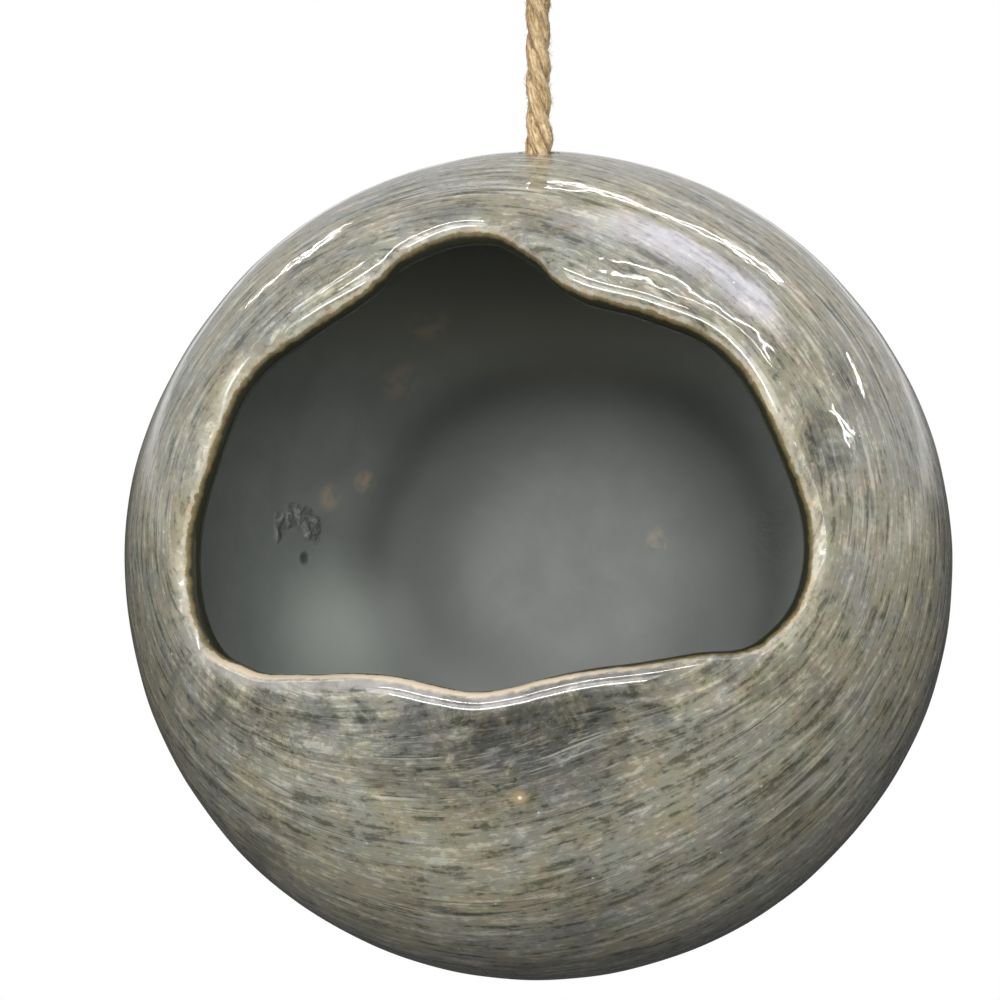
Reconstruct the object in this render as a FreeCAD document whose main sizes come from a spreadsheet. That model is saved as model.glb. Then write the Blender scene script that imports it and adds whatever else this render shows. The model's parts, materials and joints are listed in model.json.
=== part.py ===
"""Hanging vase: a ceramic ball with a wide mouth, hung on a knotted jute rope.

Millimetres and degrees. +Z is up, the mouth faces -Y, and the origin is the point
where the rope's loop rests on its hook. The rope hangs down the Z axis.
"""
import FreeCAD
import Part
import Sketcher

import math
import os

V = FreeCAD.Vector
TOLERANCE = 1e-3
# The cutting tools start well inside the bowl and end well outside the ball.
CUT_START = 0.3
CUT_END = 1.3

# Sizes that are set by hand.
SIZES = {
    "ball_diameter": 170.0,
    "wall": 6.5,
    "mouth_tilt": 16.0,
    "foot_diameter": 84.0,
    "foot_ring_width": 9.0,
    "foot_recess": 1.5,
    "foot_edge_radius": 1.5,
    "floor_thickness": 7.4,
    "floor_corner_radius": 7.0,
    "ball_lead": 7.0,
    "rope_diameter": 5.0,
    "bore_space": 0.9,
    "bore_edge_radius": 0.8,
    "run_length": 62.0,
    "hook_bar": 16.0,
    "loop_reach": 40.0,
    "leg_gap": 0.5,
    "flex_gap": 0.3,
    "turn_lean": 18.0,
    "loop_tail_length": 16.0,
    "loop_tail_lean": 38.0,
    "stopper_tail_length": 6.0,
    "stopper_tail_lean": 50.0,
}

# The lip: clock angle about the throwing axis (0 = right, 90 = top), and the half angle
# of the mouth there, both in degrees.
LIP = {
    0: 46.5,
    25: 46.0,
    45: 46.5,
    60: 43.0,
    76: 41.3,
    86: 46.5,
    97: 51.5,
    108: 50.0,
    118: 45.3,
    130: 45.2,
    146: 48.4,
    162: 47.0,
    180: 48.2,
    195: 46.8,
    204: 40.4,
    213: 30.0,
    222: 23.2,
    234: 19.3,
    250: 17.6,
    268: 17.2,
    285: 17.0,
    300: 17.5,
    317: 20.2,
    329: 25.0,
    338: 31.2,
    346: 40.8,
}

# Sizes that follow from the others: a tied knot is as thick as its rope makes it, and
# every level is stacked down from the hook.
DERIVED = {
    "ball_radius": "=ball_diameter / 2",
    "bowl_radius": "=ball_radius - wall",
    "lip_radius": "=0.46 * wall",
    "foot_radius": "=foot_diameter / 2",
    "rope_radius": "=rope_diameter / 2",
    "bore_radius": "=rope_radius + bore_space",
    "loop_knot_radius": "=1.95 * rope_diameter",
    "stopper_radius": "=1.45 * rope_diameter",
    "turn_radius": "=1.05 * rope_radius",
    "bar_z": "=-hook_bar / 2",
    "crown_radius": "=hook_bar / 2 + rope_radius",
    "leg_x": "=rope_radius + leg_gap / 2",
    "knot_z": "=bar_z - loop_reach",
    "run_top": "=knot_z - loop_knot_radius - flex_gap",
    "run_foot": "=run_top - run_length",
    "stopper_z": "=run_foot - flex_gap - stopper_radius",
    "seat_height": "=sqrt(bowl_radius ^ 2 - (ball_lead + bore_radius) ^ 2)",
    "seat_drop": "=sqrt((stopper_radius + flex_gap) ^ 2 - bore_radius ^ 2)",
    "ball_z": "=stopper_z + seat_drop - seat_height",
}


def make_sheet(doc):
    """Write every size into the driving sheet, one alias per row."""
    sheet = doc.addObject("Spreadsheet::Sheet", "sizes")
    lip = {f"lip_half_angle_{clock}": half for clock, half in LIP.items()}
    rows = {**SIZES, **lip, **DERIVED}
    for row, (name, value) in enumerate(rows.items(), start=1):
        sheet.set(f"A{row}", name)
        sheet.setAlias(f"B{row}", name)
        sheet.set(f"B{row}", str(value))
    doc.recompute()
    return sheet


def bind(obj, **paths):
    """Bind properties to the sheet; a double underscore stands for a dot in the path."""
    for path, formula in paths.items():
        obj.setExpression(path.replace("__", "."), formula)


def bind_turn(obj, axis, formula):
    """Turn an object about an axis through its own base, by an angle from the sheet."""
    quarter = 90
    obj.Placement = FreeCAD.Placement(obj.Placement.Base, FreeCAD.Rotation(axis, quarter))
    obj.setExpression("Placement.Rotation.Angle", formula)


def origin_plane(body, role):
    """The body's own origin plane with this role."""
    for feature in body.Origin.OriginFeatures:
        if feature.Role == role:
            return feature
    raise ValueError(role)


def plane_sketch(body, name, role):
    """An empty sketch on one of the body's origin planes."""
    sketch = body.newObject("Sketcher::SketchObject", name)
    sketch.AttachmentSupport = (origin_plane(body, role), "")
    sketch.MapMode = "FlatFace"
    return sketch


def named(sketch, name, formula, *constraint):
    """Add a dimension to a sketch and bind it to the sheet."""
    index = sketch.addConstraint(Sketcher.Constraint(*constraint))
    sketch.renameConstraint(index, name)
    sketch.setExpression(f"Constraints.{name}", formula)


def ball_profile(body, size):
    """Half section of the closed ball: round outside, flat foot, flat floor inside."""
    sketch = plane_sketch(body, "ball_profile", "XZ_Plane")
    foot = -math.sqrt(size("ball_radius") ** 2 - size("foot_radius") ** 2)
    floor = foot + size("floor_thickness")
    recess = foot + size("foot_recess")
    ring = size("foot_radius") - size("foot_ring_width")
    corner = math.sqrt(size("bowl_radius") ** 2 - floor ** 2)
    axis = V(0, 0, 1)

    def arc(radius, x, y):
        circle = Part.Circle(V(0, 0, 0), axis, radius)
        return Part.ArcOfCircle(circle, math.atan2(y, x), math.pi / 2)

    def line(x0, y0, x1, y1):
        return Part.LineSegment(V(x0, y0, 0), V(x1, y1, 0))

    outside = sketch.addGeometry(arc(size("ball_radius"), size("foot_radius"), foot))
    ring_face = sketch.addGeometry(line(size("foot_radius"), foot, ring, foot))
    step = sketch.addGeometry(line(ring, foot, ring, recess))
    under = sketch.addGeometry(line(ring, recess, 0, recess))
    base = sketch.addGeometry(line(0, recess, 0, floor))
    inner_floor = sketch.addGeometry(line(0, floor, corner, floor))
    inside = sketch.addGeometry(arc(size("bowl_radius"), corner, floor))
    front = sketch.addGeometry(line(0, size("bowl_radius"), 0, size("ball_radius")))

    joins = (
        (outside, 1, ring_face, 1),
        (ring_face, 2, step, 1),
        (step, 2, under, 1),
        (under, 2, base, 1),
        (base, 2, inner_floor, 1),
        (inner_floor, 2, inside, 1),
        (inside, 2, front, 1),
        (front, 2, outside, 2),
        (outside, 3, -1, 1),
        (inside, 3, -1, 1),
    )
    for join in joins:
        sketch.addConstraint(Sketcher.Constraint("Coincident", *join))
    for flat in (ring_face, under, inner_floor):
        sketch.addConstraint(Sketcher.Constraint("Horizontal", flat))
    for upright in (step, base, front):
        sketch.addConstraint(Sketcher.Constraint("Vertical", upright))
    sketch.addConstraint(Sketcher.Constraint("PointOnObject", base, 1, -2))
    sketch.addConstraint(Sketcher.Constraint("PointOnObject", front, 2, -2))

    named(sketch, "outside_radius", "sizes.ball_radius", "Radius", outside, size("ball_radius"))
    named(sketch, "inside_radius", "sizes.bowl_radius", "Radius", inside, size("bowl_radius"))
    named(sketch, "foot_reach", "sizes.foot_radius",
          "DistanceX", -1, 1, ring_face, 1, size("foot_radius"))
    named(sketch, "ring_width", "sizes.foot_ring_width",
          "DistanceX", ring_face, 2, ring_face, 1, size("foot_ring_width"))
    named(sketch, "recess_depth", "sizes.foot_recess",
          "DistanceY", step, 1, step, 2, size("foot_recess"))
    named(sketch, "floor_height", "sizes.floor_thickness",
          "DistanceY", ring_face, 1, inner_floor, 1, size("floor_thickness"))
    return sketch


def circles_at(shape, level, radius):
    """Names of the circular edges at this height with this radius."""
    found = []
    for index, edge in enumerate(shape.Edges, start=1):
        if edge.Degenerated or not isinstance(edge.Curve, Part.Circle):
            continue
        circle = edge.Curve
        if abs(circle.Center.z - level) < TOLERANCE and abs(circle.Radius - radius) < TOLERANCE:
            found.append(f"Edge{index}")
    if not found:
        raise ValueError("no such circle")
    return found


def make_blank(doc, size):
    """The thrown ball before its mouth is cut, along its own throwing axis."""
    body = doc.addObject("PartDesign::Body", "ball_blank")
    profile = ball_profile(body, size)
    spun = body.newObject("PartDesign::Revolution", "ball_spun")
    spun.Profile = profile
    spun.ReferenceAxis = (profile, ["V_Axis"])
    spun.Angle = 360.0
    profile.Visibility = False
    doc.recompute()

    foot = -math.sqrt(size("ball_radius") ** 2 - size("foot_radius") ** 2)
    floor = foot + size("floor_thickness")
    corner = math.sqrt(size("bowl_radius") ** 2 - floor ** 2)
    edges = (
        ("floor_corner", floor, corner, "sizes.floor_corner_radius"),
        ("foot_edge", foot, size("foot_radius"), "sizes.foot_edge_radius"),
    )
    tip = spun
    for name, level, radius, formula in edges:
        rounded = body.newObject("PartDesign::Fillet", name)
        rounded.Base = (tip, circles_at(tip.Shape, level, radius))
        bind(rounded, Radius=formula)
        doc.recompute()
        tip = rounded

    bind_turn(body, V(1, 0, 0), "90 - sizes.mouth_tilt")
    bind(body, Placement__Base__y="-sizes.ball_lead", Placement__Base__z="sizes.ball_z")
    doc.recompute()
    return body


def make_mouth_cutter(doc, size, placement):
    """A cone from the ball's centre through the lip, so the lip is cut square to the wall."""
    directions = []
    for clock in LIP:
        spread = math.tan(math.radians(size(f"lip_half_angle_{clock}")))
        turn = math.radians(clock)
        directions.append(V(spread * math.cos(turn), spread * math.sin(turn), 1))

    def section(height):
        curve = Part.BSplineCurve()
        curve.interpolate(Points=[d * height for d in directions], PeriodicFlag=True)
        return Part.Wire(curve.toShape())

    near = section(CUT_START * size("bowl_radius"))
    far = section(CUT_END * size("ball_radius"))
    cutter = doc.addObject("Part::Feature", "mouth_cutter")
    cutter.Shape = Part.makeLoft([near, far], True, True)
    cutter.Placement = placement
    return cutter


def make_ball(doc, size):
    """The ball with its mouth, its rope hole and its rounded lip."""
    blank = make_blank(doc, size)
    cutter = make_mouth_cutter(doc, size, blank.Placement)
    bore = doc.addObject("Part::Cylinder", "rope_bore")
    bind(bore, Radius="sizes.bore_radius", Height=f"{CUT_END} * sizes.ball_radius",
         Placement__Base__z="sizes.ball_z")
    tools = doc.addObject("Part::MultiFuse", "ball_tools")
    tools.Shapes = [cutter, bore]
    opened = doc.addObject("Part::Cut", "opened_ball")
    opened.Base = blank
    opened.Tool = tools
    doc.recompute()

    centre = blank.Placement.Base
    inner = size("bowl_radius")
    outer = size("ball_radius")
    rounding = {}
    for face in opened.Shape.Faces:
        if isinstance(face.Surface, Part.BSplineSurface):
            levels = {inner: size("lip_radius"), outer: size("lip_radius")}
        elif isinstance(face.Surface, Part.Cylinder) and face.Surface.Radius < 2 * size("bore_radius"):
            levels = {outer: size("bore_edge_radius")}
        else:
            continue
        for edge in face.Edges:
            reach = [(point - centre).Length for point in edge.discretize(9)]
            for level, radius in levels.items():
                if max(abs(r - level) for r in reach) < TOLERANCE:
                    rounding[edge.hashCode()] = radius
    edges = []
    for index, edge in enumerate(opened.Shape.Edges, start=1):
        radius = rounding.get(edge.hashCode())
        if radius:
            edges.append((index, radius, radius))
    ball = doc.addObject("Part::Fillet", "ceramic_ball")
    ball.Base = opened
    ball.Edges = edges
    doc.recompute()
    return ball


def make_loop(doc, size):
    """The eye of the rope: round its hook, with two taut legs down to the knot."""
    body = doc.addObject("PartDesign::Body", "hanging_loop")
    path = plane_sketch(body, "loop_path", "XZ_Plane")
    bar = V(0, size("bar_z"), 0)
    leg = V(size("leg_x"), size("knot_z"), 0)
    crown = size("crown_radius")
    away = math.atan2(leg.y - bar.y, leg.x - bar.x)
    touch = away + math.acos(crown / (leg - bar).Length)
    right = bar + V(math.cos(touch), math.sin(touch), 0) * crown
    left = V(-right.x, right.y, 0)

    left_leg = path.addGeometry(Part.LineSegment(V(-leg.x, leg.y, 0), left))
    circle = Part.Circle(bar, V(0, 0, 1), crown)
    arc = path.addGeometry(Part.ArcOfCircle(circle, touch, math.pi - touch))
    right_leg = path.addGeometry(Part.LineSegment(right, V(leg.x, leg.y, 0)))
    path.addConstraint(Sketcher.Constraint("Tangent", left_leg, 2, arc, 2))
    path.addConstraint(Sketcher.Constraint("Tangent", arc, 1, right_leg, 1))
    path.addConstraint(Sketcher.Constraint("PointOnObject", arc, 3, -2))
    named(path, "bar_drop", "-sizes.bar_z", "DistanceY", arc, 3, -1, 1, -bar.y)
    named(path, "crown", "sizes.crown_radius", "Radius", arc, crown)
    named(path, "left_reach", "sizes.leg_x", "DistanceX", left_leg, 1, -1, 1, leg.x)
    named(path, "right_reach", "sizes.leg_x", "DistanceX", -1, 1, right_leg, 2, leg.x)
    named(path, "left_drop", "-sizes.knot_z", "DistanceY", left_leg, 1, -1, 1, -leg.y)
    named(path, "right_drop", "-sizes.knot_z", "DistanceY", right_leg, 2, -1, 1, -leg.y)
    doc.recompute()

    section = body.newObject("Sketcher::SketchObject", "loop_section")
    section.AttachmentSupport = [(path, "Edge1"), (path, "Vertex1")]
    section.MapMode = "NormalToEdge"
    ring = section.addGeometry(Part.Circle(V(0, 0, 0), V(0, 0, 1), size("rope_radius")))
    section.addConstraint(Sketcher.Constraint("Coincident", ring, 3, -1, 1))
    named(section, "thickness", "sizes.rope_radius", "Radius", ring, size("rope_radius"))
    doc.recompute()

    tube = body.newObject("PartDesign::AdditivePipe", "loop_tube")
    tube.Profile = section
    tube.Spine = path
    doc.recompute()
    trim = body.newObject("PartDesign::SubtractiveSphere", "loop_trim")
    bind(trim, Radius="sizes.loop_knot_radius + sizes.flex_gap", Placement__Base__z="sizes.knot_z")
    doc.recompute()
    return body


def make_knot(doc, name, radius, level):
    """A tied knot as a round lump with two crossed turns of rope round it."""
    lump = doc.addObject("Part::Sphere", f"{name}_lump")
    bind(lump, Radius=f"sizes.{radius}", Placement__Base__z=f"sizes.{level}")
    shapes = [lump]
    for side in (1, -1):
        turn = doc.addObject("Part::Torus", f"{name}_turn")
        bind_turn(turn, V(side, 0, 0), "sizes.turn_lean")
        bind(turn, Radius1=f"sizes.{radius} - 0.55 * sizes.turn_radius", Radius2="sizes.turn_radius",
             Placement__Base__z=f"sizes.{level}")
        shapes.append(turn)
    knot = doc.addObject("Part::MultiFuse", name)
    knot.Shapes = shapes
    return knot


def make_tail(doc, name, knot, radius, level, axis):
    """The rope's end, leaving its knot downwards at a lean."""
    rod = doc.addObject("Part::Cylinder", f"{name}_rod")
    bind_turn(rod, axis, f"180 - sizes.{name}_lean")
    bind(rod, Radius="sizes.rope_radius", Height=f"sizes.{radius} + sizes.{name}_length",
         Placement__Base__z=f"sizes.{level}")
    tail = doc.addObject("Part::Cut", name)
    tail.Base = rod
    tail.Tool = knot
    return tail


def make_run(doc):
    """The taut rope between the two knots."""
    run = doc.addObject("Part::Cylinder", "rope_run")
    bind(run, Radius="sizes.rope_radius", Height="sizes.run_length", Placement__Base__z="sizes.run_foot")
    return run


def main():
    doc = FreeCAD.newDocument("hanging_vase")
    sheet = make_sheet(doc)

    def size(name):
        return float(sheet.get(name))

    loop_knot = make_knot(doc, "loop_knot", "loop_knot_radius", "knot_z")
    stopper = make_knot(doc, "stopper_knot", "stopper_radius", "stopper_z")
    parts = [
        make_ball(doc, size),
        make_loop(doc, size),
        loop_knot,
        make_tail(doc, "loop_tail", loop_knot, "loop_knot_radius", "knot_z", V(0, 1, 0)),
        make_run(doc),
        stopper,
        make_tail(doc, "stopper_tail", stopper, "stopper_radius", "stopper_z", V(-1, 0, 0)),
    ]
    doc.recompute()

    for obj in doc.Objects:
        if {"Invalid", "Error"} & set(obj.State):
            raise RuntimeError(f"{obj.Label} did not recompute")
    os.makedirs("parts", exist_ok=True)
    for part in parts:
        if part.Shape.isNull() or not part.Shape.isValid():
            raise RuntimeError(f"{part.Label} has no valid shape")
        part.Shape.exportStep(f"parts/{part.Label}.step")
        box = part.Shape.optimalBoundingBox(False)
        print(f"{part.Label}: {len(part.Shape.Solids)} solid, {part.Shape.Volume:.0f} mm3, "
              f"x {box.XMin:.1f}..{box.XMax:.1f} y {box.YMin:.1f}..{box.YMax:.1f} "
              f"z {box.ZMin:.1f}..{box.ZMax:.1f}")


main()
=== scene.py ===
"""Hanging vase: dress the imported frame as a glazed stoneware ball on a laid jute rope.

Metres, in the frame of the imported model: +Z is up, the mouth faces -Y, and the origin
is the point where the rope's loop rests on its hook.
"""

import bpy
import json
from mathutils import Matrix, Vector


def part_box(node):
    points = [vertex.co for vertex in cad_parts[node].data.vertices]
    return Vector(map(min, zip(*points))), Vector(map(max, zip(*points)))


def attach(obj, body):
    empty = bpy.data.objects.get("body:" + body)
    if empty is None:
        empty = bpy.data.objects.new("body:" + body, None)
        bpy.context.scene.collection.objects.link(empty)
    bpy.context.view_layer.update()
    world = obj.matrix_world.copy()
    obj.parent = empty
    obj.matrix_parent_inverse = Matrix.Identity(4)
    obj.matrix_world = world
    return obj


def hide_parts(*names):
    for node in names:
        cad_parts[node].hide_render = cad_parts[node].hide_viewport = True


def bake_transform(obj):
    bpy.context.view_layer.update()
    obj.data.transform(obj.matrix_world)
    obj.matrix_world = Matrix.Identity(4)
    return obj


bl_info = {
    "name": "Hanging Vase",
    "version": (1, 0, 0),
    "blender": (4, 5, 0),
    "location": "View3D > Sidebar > Vase",
    "description": "Models the glazed ball, its jute rope and the studio on the packed frame",
    "category": "Add Mesh",
}

import json
import math
import random

import bmesh
import bpy
import numpy as np
from bpy.props import FloatProperty, FloatVectorProperty, PointerProperty
from bpy.types import Operator, Panel, PropertyGroup
from mathutils import Quaternion, Vector, noise

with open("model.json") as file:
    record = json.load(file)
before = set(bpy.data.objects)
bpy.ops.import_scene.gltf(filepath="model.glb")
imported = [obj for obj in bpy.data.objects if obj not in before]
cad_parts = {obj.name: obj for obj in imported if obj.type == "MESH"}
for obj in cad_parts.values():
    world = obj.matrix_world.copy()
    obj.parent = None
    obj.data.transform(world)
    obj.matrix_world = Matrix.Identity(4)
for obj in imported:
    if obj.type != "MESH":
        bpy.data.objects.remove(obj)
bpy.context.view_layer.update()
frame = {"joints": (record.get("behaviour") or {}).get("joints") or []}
BALL_LOW, BALL_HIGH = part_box("ceramic_ball")
BALL_RADIUS = (BALL_HIGH.x - BALL_LOW.x) / 2
ROPE_RADIUS = (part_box("rope_run")[1].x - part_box("rope_run")[0].x) / 2
HINGES = {joint["name"]: Vector(joint["pos_m"]) for joint in frame["joints"]}
KNOT = HINGES["swing_side"]
STOPPER = HINGES["tip"]

# The lip: clock angle about the throwing axis (0 = right, 90 = top), and the half angle
# of the mouth there, both in degrees.
LIP = {
    0: 46.5, 25: 46.0, 45: 46.5, 60: 43.0, 76: 41.3, 86: 46.5, 97: 51.5, 108: 50.0, 118: 45.3,
    130: 45.2, 146: 48.4, 162: 47.0, 180: 48.2, 195: 46.8, 204: 40.4, 213: 30.0, 222: 23.2,
    234: 19.3, 250: 17.6, 268: 17.2, 285: 17.0, 300: 17.5, 317: 20.2, 329: 25.0, 338: 31.2,
    346: 40.8,
}
# The ball is thrown with an even mouth of this half angle, and its lip is pulled to LIP after.
EVEN_MOUTH = math.radians(45)
# That pull ends at this angle from the throwing axis.
PULL_END = 2.45
# Rounding between the foot ring and the wall.
FOOT_ROUND = 0.0014
# Angles beyond the even mouth over which the lip's own form fades out, and angles from the throwing
# axis over which the dents do.
LIP_FADE = (0.05, 0.25)
DENT_FADE = (2.3, 2.6)
# Only the foot and the floor of the thrown ball have faces with more corners than this.
MANY_CORNERS = 20
# The step between the points of a rope's line.
ROPE_STEP = 0.0007
# A strand: its share of the rope's radius, its sides, how far its fibres go round for each metre along
# it, and its yarns' number, depth and lay.
STRAND_SHARE = 0.525
STRAND_SIDES = 14
FIBRE_TWIST = 0.3
YARNS = 5
YARN_DEPTH = 0.06
YARN_LAY = 0.0056
# A stray fibre: its radius at the root, how far it may stand off the rope, and how far above the
# rope hole it stays.
FIBRE_RADIUS = 0.00007
FIBRE_STAND_OFF = 0.0011
FIBRE_CLEAR = 0.0006
# The rope bunches up by this share of its radius, this far above its hole, over this length.
BUNCH = 0.16
BUNCH_HEIGHT = 0.002
BUNCH_LENGTH = 0.0025
# The picture is square. The ball's middle stands right of and below its middle, in pixels.
PICTURE = 1000
SENSOR = 36
BALL_IN_PICTURE = (37.9, -64.8)
# The studio's ceiling above the ball's middle and its floor below it.
CEILING = 0.9
FLOOR = 0.75
# Half the gap between twin tubes, how bright they are, and the colour of the lamps.
TWIN_GAP = 0.042
TUBE_RADIANCE = 40.0
LAMP_WHITE = (1.0, 0.99, 0.97)

# Marks in the glaze, and the middle of a patch of painted light inside, in metres from the ball's middle:
# right, up, and along the throwing axis.
DARK_CLOUD = (0.0085, -0.0304, 0.0789)
IRON_SPOT = (0.0077, -0.0434, 0.0727)
# Middle of a patch of painted light on the lower left of the inside wall.
LIT_PATCH_INSIDE = (-0.0534, -0.0187, -0.0544)
SCAB = (-0.061, 0.0053, -0.049)
SCAB_HOLLOW = (-0.0612, 0.0028, -0.0489)
PIT = (-0.0593, -0.0002, -0.0515)
WAVY_WALL = (0.0476, 0.0075, -0.0619)
# Small clouds beside the mouth: middle and reach.
SIDE_CLOUDS = [((0.0622, 0.0241, 0.0527), 0.014), ((0.0657, 0.0383, 0.038), 0.013)]
# Tan smudges inside: middle, reach and strength.
SMUDGES = [
    ((-0.0547, 0.0136, -0.0546), 0.004, 0.45), ((-0.0479, 0.0173, -0.0597), 0.0035, 0.45),
    ((0.0183, 0.0064, -0.0665), 0.004, 0.45), ((-0.0327, 0.0519, -0.049), 0.007, 0.3),
    ((-0.04, 0.04, -0.055), 0.007, 0.22),
]

# Routes of the rope, in rope diameters.
# Round a knot: degrees from the front towards the right, distance from the rope's axis, height.
LOOP_LEG = [(180, 0.0, -0.6), (90, 0.1, 0.4), (90, 0.5, 1.4)]
LOOP_TUCK = [(-80, 0.75, 1.5), (-62, 1.75, 1.15), (-42, 1.95, 0.55), (-18, 1.35, 0.1), (15, 1.0, 0.0)]
HITCHES = [
    (-24, 1.3, 0.1), (20, 1.0, 0.05), (75, 1.0, 0.35), (130, 1.0, 0.55), (190, 1.0, 0.62),
    (250, 1.02, 0.68), (300, 1.2, 0.68), (333, 1.75, 0.45), (360, 2.0, 0.0), (387, 1.75, -0.45),
    (420, 1.2, -0.7), (470, 1.02, -0.7), (530, 1.0, -0.62), (590, 1.0, -0.52), (650, 1.0, -0.38),
    (700, 1.0, -0.1), (745, 1.25, -0.1), (775, 1.75, -0.75), (794, 2.2, -1.9), (805, 2.9, -3.4),
]
BARREL = [
    (0, 0.0, 1.1), (0, 0.0, -0.4), (10, 0.45, -1.05), (60, 0.95, -0.95), (120, 0.98, -0.75),
    (180, 0.98, -0.58), (240, 0.98, -0.4), (300, 0.98, -0.22), (360, 0.98, -0.05),
    (420, 0.98, 0.13), (480, 0.98, 0.3), (540, 0.98, 0.48), (600, 0.96, 0.62), (660, 0.8, 0.72),
    (710, 0.4, 0.6),
]
BARREL_TAIL = [(180, 0.1, 0.2), (180, 0.25, -0.9), (180, 0.9, -1.5), (180, 1.9, -1.75)]


def length_property(name, description, default):
    """A size in metres that a user may change."""
    return FloatProperty(name=name, description=description, default=default, unit="LENGTH")


def angle_property(name, description, degrees):
    """An angle that a user may change."""
    return FloatProperty(name=name, description=description, default=math.radians(degrees),
                         subtype="ANGLE")


def colour_property(name, description, *default):
    """A colour that a user may change."""
    return FloatVectorProperty(name=name, description=description, default=default, subtype="COLOR")


class VaseBall(PropertyGroup):
    """Sizes of the thrown ball."""
    radius: length_property("Radius", "Outside radius of the ball", BALL_RADIUS)
    lead: length_property("Lead", "How far the ball's middle hangs ahead of the rope", 0.007)
    tilt: angle_property("Tilt", "How far the mouth looks up", 16)
    wall: length_property("Wall", "Thickness of the wall", 0.0065)
    lip_roll: length_property("Lip roll", "Radius of the rounded lip", 0.003)
    foot: length_property("Foot", "Radius of the flat foot", 0.042)
    foot_ring: length_property("Foot ring", "Width of the bare ring", 0.009)
    recess: length_property("Recess", "Depth of the foot's recess", 0.0015)
    floor: length_property("Floor", "Thickness of the floor", 0.0074)
    corner: length_property("Floor corner", "How softly the floor runs into the wall", 0.006)
    hole: length_property("Rope hole", "Radius of the rope hole", 0.0034)
    hole_edge: length_property("Hole edge", "Rounding of the rope hole", 0.0008)
    brush_lean: angle_property("Brush lean", "How far the streaks climb to the right below the mouth", 4)
    wobble: length_property("Wobble", "How far the thrown wall is out of true", 0.0004)


class VaseRope(PropertyGroup):
    """Sizes of the laid rope."""
    radius: length_property("Radius", "Radius of the rope", ROPE_RADIUS)
    lay: length_property("Lay", "Length of one turn of the strands", 0.021)
    fuzz: length_property("Fuzz", "Longest stray fibre", 0.0028)
    hook: length_property("Hook bar", "Thickness of the bar in the loop", 0.016)


class VaseColours(PropertyGroup):
    """Colours of the glaze, the clay and the jute."""
    # Also the painted shade in the brushed grooves.
    soot: colour_property("Soot", "Fine dark lines of the glaze", 0.045, 0.045, 0.033)
    olive: colour_property("Olive", "Dark dashes of the glaze", 0.146, 0.147, 0.11)
    sage: colour_property("Sage", "Middle tone of the glaze", 0.342, 0.333, 0.272)
    # Also the painted highlight along the lip's inner edge.
    beige: colour_property("Beige", "Light streaks of the glaze", 0.57, 0.555, 0.468)
    # Also the painted highlight on the edges of the brushed grooves.
    chalk: colour_property("Chalk", "Fine light lines of the glaze", 0.66, 0.64, 0.57)
    # Partly painted light: paler where the lower lip's crest faces the ceiling lamps.
    cream_glaze_and_light: colour_property("Cream", "Thin glaze on the lip", 0.93, 0.79, 0.60)
    # Painted reflection: the lavender stands for the ceiling seen in the upward-facing roll of the lower
    # lip.
    lavender_lip_reflection: colour_property("Pearl", "Lavender glaze below the lip's crest", 0.42, 0.40, 0.40)
    smoke: colour_property("Smoke", "What the dark clouds leave of the glaze's colour", 0.37, 0.38, 0.43)
    speck: colour_property("Speck", "Pale dots of the glaze", 0.78, 0.76, 0.7)
    iron: colour_property("Iron", "Middle of the iron spot", 0.85, 0.78, 0.62)
    rust: colour_property("Rust", "Glow round the iron spot", 0.6, 0.46, 0.25)
    # Painted light: a lighter copy of the inside glaze near the top.
    upper_inside_light: colour_property("Haze", "Glaze inside near the top", 0.25, 0.25, 0.21)
    dots: colour_property("Dots", "Pale dots inside", 0.6, 0.58, 0.5)
    # Its lighter and darker copies inside are painted light and painted shade.
    slate: colour_property("Slate", "Satin glaze inside", 0.19, 0.205, 0.193)
    ochre: colour_property("Ochre", "Thin line inside the lip's crest", 0.2, 0.16, 0.075)
    # Painted shade: the near-black stands for shade on the lip's inner face and in the flaws inside.
    deep_shade: colour_property("Moss", "Dark glaze on the inner face of the lip", 0.03, 0.031, 0.02)
    clay: colour_property("Clay", "Bare clay at the lip and foot", 0.55, 0.41, 0.26)
    flax: colour_property("Flax", "Palest fibres of the rope", 0.86, 0.70, 0.45)
    jute: colour_property("Jute", "Most fibres of the rope", 0.64, 0.48, 0.275)
    tow: colour_property("Tow", "Brown fibres of the rope", 0.28, 0.17, 0.07)
    paper: colour_property("Paper", "Floor of the studio", 0.85, 0.85, 0.85)


class VaseView(PropertyGroup):
    """Where the camera stands, seen from the ball's middle."""
    azimuth: angle_property("Azimuth", "Camera to the right of the mouth", 8)
    elevation: angle_property("Elevation", "Camera above the ball", 16)
    distance: length_property("Distance", "Camera to the ball's middle", 0.765)
    roll: angle_property("Roll", "Camera's lean", -0.5)
    lens: FloatProperty(name="Lens", description="Focal length in millimetres", default=133.4)


class VaseSettings(PropertyGroup):
    """Everything that a user would change."""
    ball: PointerProperty(type=VaseBall)
    rope: PointerProperty(type=VaseRope)
    colours: PointerProperty(type=VaseColours)
    view: PointerProperty(type=VaseView)


def settings():
    return bpy.context.scene.hanging_vase


def foot_level():
    """How far the flat foot is from the ball's middle."""
    size = settings().ball
    return math.sqrt(size.radius ** 2 - size.foot ** 2)


def ball_middle():
    """The ball's middle, in the frame."""
    return Vector((0, -settings().ball.lead, BALL_HIGH.z - BALL_RADIUS))


def smooth(value, low, high):
    """0 below low, 1 above high and an S-curve between, for arrays."""
    t = np.clip((value - low) / (high - low), 0, 1)
    return t * t * (3 - 2 * t)


def coordinates(mesh):
    """A mesh's vertices as rows of x, y, z."""
    flat = np.empty(len(mesh.vertices) * 3)
    mesh.vertices.foreach_get("co", flat)
    return flat.reshape(-1, 3)


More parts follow.
